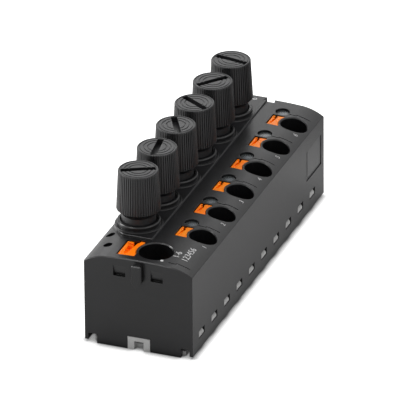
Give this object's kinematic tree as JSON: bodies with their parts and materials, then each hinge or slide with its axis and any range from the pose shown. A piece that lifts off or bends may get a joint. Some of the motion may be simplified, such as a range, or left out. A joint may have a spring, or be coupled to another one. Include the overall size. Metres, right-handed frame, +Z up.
{
  "type": "power distribution block",
  "caption": "Fused push-in power distribution block: round feed entry, oval outlet entries with release buttons, indicator lenses and screw-in fuse caps on a snap-in base plate.",
  "frame": {"origin": "centre of the base plate's underside, on the surface that the block stands on, midway between the outer faces of the two end walls", "axes": "+Z up out of the fuse caps, +Y along the block away from the feed end, +X across towards the outlet entries"},
  "size_m": [0.0286, 0.0959, 0.0403],
  "materials": {
    "housing_plastic": "fine spark-eroded grain",
    "base_plastic": "satin moulded",
    "button_plastic": "satin moulded",
    "cap_plastic": "fine-ribbed grip, satin",
    "lens_plastic": "translucent",
    "lamp_body": "moulded epoxy",
    "copper": "tin-plated copper",
    "plated_brass": "nickel-plated",
    "spring_steel": "stainless strip",
    "fuse_glass": "clear",
    "fuse_metal": "nickel-plated"
  },
  "bodies": {
    "block": {"housing": "housing_plastic", "base_plate": "base_plastic", "feed_busbar": "copper", "feed_bar": "copper", "feed_spring": "spring_steel", "outlet_bar_1": "copper", "clamp_spring_1": "spring_steel", "lens_1": "lens_plastic", "lamp_1": "lamp_body", "outlet_bar_2": "copper", "clamp_spring_2": "spring_steel", "lens_2": "lens_plastic", "lamp_2": "lamp_body", "outlet_bar_3": "copper", "clamp_spring_3": "spring_steel", "lens_3": "lens_plastic", "lamp_3": "lamp_body", "outlet_bar_4": "copper", "clamp_spring_4": "spring_steel", "lens_4": "lens_plastic", "lamp_4": "lamp_body", "outlet_bar_5": "copper", "clamp_spring_5": "spring_steel", "lens_5": "lens_plastic", "lamp_5": "lamp_body", "outlet_bar_6": "copper", "clamp_spring_6": "spring_steel", "lens_6": "lens_plastic", "lamp_6": "lamp_body"},
    "feed_button": {"feed_button": "button_plastic"},
    "outlet_button_1": {"outlet_button_1": "button_plastic"},
    "fuse_1": {"fuse_glass_1": "fuse_glass", "fuse_element_1": "fuse_metal"},
    "cap_1": {"fuse_cap_1": "cap_plastic", "cap_sleeve_1": "plated_brass"},
    "outlet_button_2": {"outlet_button_2": "button_plastic"},
    "fuse_2": {"fuse_glass_2": "fuse_glass", "fuse_element_2": "fuse_metal"},
    "cap_2": {"fuse_cap_2": "cap_plastic", "cap_sleeve_2": "plated_brass"},
    "outlet_button_3": {"outlet_button_3": "button_plastic"},
    "fuse_3": {"fuse_glass_3": "fuse_glass", "fuse_element_3": "fuse_metal"},
    "cap_3": {"fuse_cap_3": "cap_plastic", "cap_sleeve_3": "plated_brass"},
    "outlet_button_4": {"outlet_button_4": "button_plastic"},
    "fuse_4": {"fuse_glass_4": "fuse_glass", "fuse_element_4": "fuse_metal"},
    "cap_4": {"fuse_cap_4": "cap_plastic", "cap_sleeve_4": "plated_brass"},
    "outlet_button_5": {"outlet_button_5": "button_plastic"},
    "fuse_5": {"fuse_glass_5": "fuse_glass", "fuse_element_5": "fuse_metal"},
    "cap_5": {"fuse_cap_5": "cap_plastic", "cap_sleeve_5": "plated_brass"},
    "outlet_button_6": {"outlet_button_6": "button_plastic"},
    "fuse_6": {"fuse_glass_6": "fuse_glass", "fuse_element_6": "fuse_metal"},
    "cap_6": {"fuse_cap_6": "cap_plastic", "cap_sleeve_6": "plated_brass"}
  },
  "joints": [
    {"name": "feed_button_press", "type": "slide", "parent": "block", "child": "feed_button", "axis": [0, 0, -1], "range_m": [0, 0.0014], "stiffness_N_per_m": 1500, "springref_m": -0.0005, "deforming": ["feed_spring"]},
    {"name": "outlet_button_1_press", "type": "slide", "parent": "block", "child": "outlet_button_1", "axis": [0, 0, -1], "range_m": [0, 0.0012], "stiffness_N_per_m": 1500, "springref_m": -0.0005, "deforming": ["clamp_spring_1"]},
    {"name": "fuse_1_lift", "type": "slide", "parent": "block", "child": "fuse_1", "axis": [0, 0, 1], "range_m": [0, 0.0045]},
    {"name": "cap_1_turn", "type": "hinge", "parent": "fuse_1", "child": "cap_1", "pos_m": [-0.00683, -0.0286, 0.03], "axis": [0, 0, 1], "range_deg": [0, 540]},
    {"name": "outlet_button_2_press", "type": "slide", "parent": "block", "child": "outlet_button_2", "axis": [0, 0, -1], "range_m": [0, 0.0012], "stiffness_N_per_m": 1500, "springref_m": -0.0005, "deforming": ["clamp_spring_2"]},
    {"name": "fuse_2_lift", "type": "slide", "parent": "block", "child": "fuse_2", "axis": [0, 0, 1], "range_m": [0, 0.0045]},
    {"name": "cap_2_turn", "type": "hinge", "parent": "fuse_2", "child": "cap_2", "pos_m": [-0.00683, -0.01566, 0.03], "axis": [0, 0, 1], "range_deg": [0, 540]},
    {"name": "outlet_button_3_press", "type": "slide", "parent": "block", "child": "outlet_button_3", "axis": [0, 0, -1], "range_m": [0, 0.0012], "stiffness_N_per_m": 1500, "springref_m": -0.0005, "deforming": ["clamp_spring_3"]},
    {"name": "fuse_3_lift", "type": "slide", "parent": "block", "child": "fuse_3", "axis": [0, 0, 1], "range_m": [0, 0.0045]},
    {"name": "cap_3_turn", "type": "hinge", "parent": "fuse_3", "child": "cap_3", "pos_m": [-0.00683, -0.00272, 0.03], "axis": [0, 0, 1], "range_deg": [0, 540]},
    {"name": "outlet_button_4_press", "type": "slide", "parent": "block", "child": "outlet_button_4", "axis": [0, 0, -1], "range_m": [0, 0.0012], "stiffness_N_per_m": 1500, "springref_m": -0.0005, "deforming": ["clamp_spring_4"]},
    {"name": "fuse_4_lift", "type": "slide", "parent": "block", "child": "fuse_4", "axis": [0, 0, 1], "range_m": [0, 0.0045]},
    {"name": "cap_4_turn", "type": "hinge", "parent": "fuse_4", "child": "cap_4", "pos_m": [-0.00683, 0.01022, 0.03], "axis": [0, 0, 1], "range_deg": [0, 540]},
    {"name": "outlet_button_5_press", "type": "slide", "parent": "block", "child": "outlet_button_5", "axis": [0, 0, -1], "range_m": [0, 0.0012], "stiffness_N_per_m": 1500, "springref_m": -0.0005, "deforming": ["clamp_spring_5"]},
    {"name": "fuse_5_lift", "type": "slide", "parent": "block", "child": "fuse_5", "axis": [0, 0, 1], "range_m": [0, 0.0045]},
    {"name": "cap_5_turn", "type": "hinge", "parent": "fuse_5", "child": "cap_5", "pos_m": [-0.00683, 0.02316, 0.03], "axis": [0, 0, 1], "range_deg": [0, 540]},
    {"name": "outlet_button_6_press", "type": "slide", "parent": "block", "child": "outlet_button_6", "axis": [0, 0, -1], "range_m": [0, 0.0012], "stiffness_N_per_m": 1500, "springref_m": -0.0005, "deforming": ["clamp_spring_6"]},
    {"name": "fuse_6_lift", "type": "slide", "parent": "block", "child": "fuse_6", "axis": [0, 0, 1], "range_m": [0, 0.0045]},
    {"name": "cap_6_turn", "type": "hinge", "parent": "fuse_6", "child": "cap_6", "pos_m": [-0.00683, 0.0361, 0.03], "axis": [0, 0, 1], "range_deg": [0, 540]}
  ],
  "couplings": [
    {"joint": "cap_1_turn", "follows": "fuse_1_lift", "rad_per_m": 2094.4},
    {"joint": "cap_2_turn", "follows": "fuse_2_lift", "rad_per_m": 2094.4},
    {"joint": "cap_3_turn", "follows": "fuse_3_lift", "rad_per_m": 2094.4},
    {"joint": "cap_4_turn", "follows": "fuse_4_lift", "rad_per_m": 2094.4},
    {"joint": "cap_5_turn", "follows": "fuse_5_lift", "rad_per_m": 2094.4},
    {"joint": "cap_6_turn", "follows": "fuse_6_lift", "rad_per_m": 2094.4}
  ]
}
